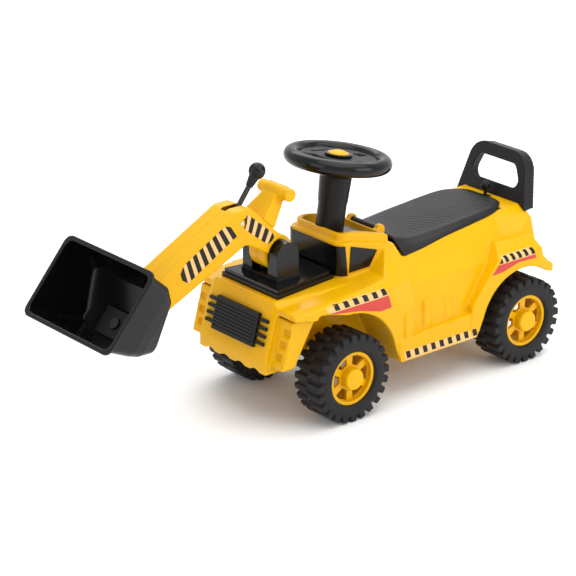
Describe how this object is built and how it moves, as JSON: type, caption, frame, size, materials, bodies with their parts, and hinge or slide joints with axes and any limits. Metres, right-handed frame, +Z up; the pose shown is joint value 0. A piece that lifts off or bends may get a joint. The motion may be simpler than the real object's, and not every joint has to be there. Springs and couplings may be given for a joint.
{
  "type": "ride_on_digger",
  "caption": "Child's ride-on digger in yellow and black plastic: lifting boom with a tipping bucket, steered front wheels, horn button, opening seat and backrest",
  "frame": {"origin": "on the floor under the middle of the whole length, half way between the two sides", "axes": "+X forward towards the bucket, +Y the driver's left, +Z up"},
  "size_m": [0.8704, 0.276, 0.393],
  "materials": {
    "yellow_plastic": "glossy moulded plastic",
    "black_plastic": "lightly textured satin moulding",
    "grey_plastic": "matt textured moulding",
    "tyre_rubber": "matt tread with moulded lugs",
    "steel": "zinc-plated bar and screws",
    "steel_black": "black-painted steel bar"
  },
  "bodies": {
    "chassis": {"body_shell": "yellow_plastic", "under_tray": "yellow_plastic", "tray_screws": "steel", "front_beam": "black_plastic", "kingpins": "steel", "rear_axle": "steel", "rear_axle_nuts": "steel", "grille_panel": "black_plastic", "windscreen": "black_plastic", "side_windows": "black_plastic", "dash_panel": "grey_plastic", "column_bush": "black_plastic", "arm_plinth": "black_plastic", "arm_clevis": "black_plastic", "boom_pivot_pin": "steel", "storage_box": "black_plastic", "backrest": "black_plastic"},
    "boom": {"boom_left_half": "yellow_plastic", "boom_right_half": "yellow_plastic", "boom_grip": "yellow_plastic", "boom_screws": "steel", "bucket_pin": "steel", "lever_pin": "steel"},
    "lever": {"lever_crank": "black_plastic", "lever_rod": "steel_black", "lever_knob": "black_plastic"},
    "push_rod": {"push_rod": "steel"},
    "bucket": {"bucket": "black_plastic", "bucket_cover_plate": "grey_plastic", "bucket_cover_button": "black_plastic"},
    "steering": {"steering_wheel": "black_plastic", "wheel_face_plate": "grey_plastic", "column_upper": "black_plastic", "column_lower": "black_plastic", "column_screw": "steel", "steering_rod": "steel"},
    "horn_button": {"horn_button": "yellow_plastic"},
    "sound_button": {"sound_button": "black_plastic"},
    "knuckle_left": {"knuckle_left": "black_plastic", "stub_axle_left": "steel"},
    "knuckle_right": {"knuckle_right": "black_plastic", "stub_axle_right": "steel"},
    "tie_rod": {"tie_rod": "steel"},
    "wheel_front_left": {"tyre_front_left": "tyre_rubber", "rim_front_left": "yellow_plastic", "hub_cap_front_left": "yellow_plastic"},
    "wheel_front_right": {"tyre_front_right": "tyre_rubber", "rim_front_right": "yellow_plastic", "hub_cap_front_right": "yellow_plastic"},
    "wheel_rear_left": {"tyre_rear_left": "tyre_rubber", "rim_rear_left": "yellow_plastic", "hub_cap_rear_left": "yellow_plastic"},
    "wheel_rear_right": {"tyre_rear_right": "tyre_rubber", "rim_rear_right": "yellow_plastic", "hub_cap_rear_right": "yellow_plastic"},
    "seat": {"seat_lid": "black_plastic", "seat_hinge_bar": "black_plastic", "seat_pull_knob": "black_plastic"}
  },
  "joints": [
    {"name": "boom_lift", "type": "hinge", "parent": "chassis", "child": "boom", "pos_m": [0.05957, 0, 0.252], "axis": [0, 1, 0], "range_deg": [-18, 20]},
    {"name": "lever_tilt", "type": "hinge", "parent": "boom", "child": "lever", "pos_m": [0.13257, 0, 0.316], "axis": [0, 1, 0], "range_deg": [0, 52]},
    {"name": "push_rod_pivot", "type": "hinge", "parent": "lever", "child": "push_rod", "pos_m": [0.13257, 0, 0.302], "axis": [0, 1, 0], "range_deg": [-52, 0]},
    {"name": "bucket_tilt", "type": "hinge", "parent": "boom", "child": "bucket", "pos_m": [0.29257, 0, 0.23], "axis": [0, 1, 0], "range_deg": [0, 52]},
    {"name": "steering_turn", "type": "hinge", "parent": "chassis", "child": "steering", "pos_m": [-0.07243, 0, 0.366], "axis": [-0.1564, 0, 0.9877], "range_deg": [-42, 42]},
    {"name": "knuckle_left_turn", "type": "hinge", "parent": "chassis", "child": "knuckle_left", "pos_m": [0.00917, 0.062, 0.07], "axis": [0, 0, 1], "range_deg": [-14, 14]},
    {"name": "knuckle_right_turn", "type": "hinge", "parent": "chassis", "child": "knuckle_right", "pos_m": [0.00917, -0.062, 0.07], "axis": [0, 0, 1], "range_deg": [-14, 14]},
    {"name": "tie_rod_pivot", "type": "hinge", "parent": "knuckle_left", "child": "tie_rod", "pos_m": [-0.04773, 0.062, 0.0833], "axis": [0, 0, 1], "range_deg": [-14, 14]},
    {"name": "wheel_front_left_spin", "type": "hinge", "parent": "knuckle_left", "child": "wheel_front_left", "pos_m": [0.00917, 0.106, 0.07], "axis": [0, 1, 0], "continuous": true},
    {"name": "wheel_front_right_spin", "type": "hinge", "parent": "knuckle_right", "child": "wheel_front_right", "pos_m": [0.00917, -0.106, 0.07], "axis": [0, 1, 0], "continuous": true},
    {"name": "wheel_rear_left_spin", "type": "hinge", "parent": "chassis", "child": "wheel_rear_left", "pos_m": [-0.35183, 0.106, 0.07], "axis": [0, 1, 0], "continuous": true},
    {"name": "wheel_rear_right_spin", "type": "hinge", "parent": "chassis", "child": "wheel_rear_right", "pos_m": [-0.35183, -0.106, 0.07], "axis": [0, 1, 0], "continuous": true},
    {"name": "seat_lid_hinge", "type": "hinge", "parent": "chassis", "child": "seat", "pos_m": [-0.12783, 0, 0.249], "axis": [0, 1, 0], "range_deg": [0, 75]},
    {"name": "horn_press", "type": "slide", "parent": "steering", "child": "horn_button", "axis": [0.1564, 0, -0.9877], "range_m": [0, 0.0025], "stiffness_N_per_m": 400},
    {"name": "sound_press", "type": "slide", "parent": "steering", "child": "sound_button", "axis": [0.1564, 0, -0.9877], "range_m": [0, 0.001], "stiffness_N_per_m": 600}
  ],
  "couplings": [
    {"joint": "push_rod_pivot", "follows": "lever_tilt", "ratio": -1},
    {"joint": "bucket_tilt", "follows": "lever_tilt", "ratio": 1},
    {"joint": "knuckle_left_turn", "follows": "steering_turn", "ratio": 0.33333},
    {"joint": "knuckle_right_turn", "follows": "steering_turn", "ratio": 0.33333},
    {"joint": "tie_rod_pivot", "follows": "steering_turn", "ratio": -0.33333}
  ]
}
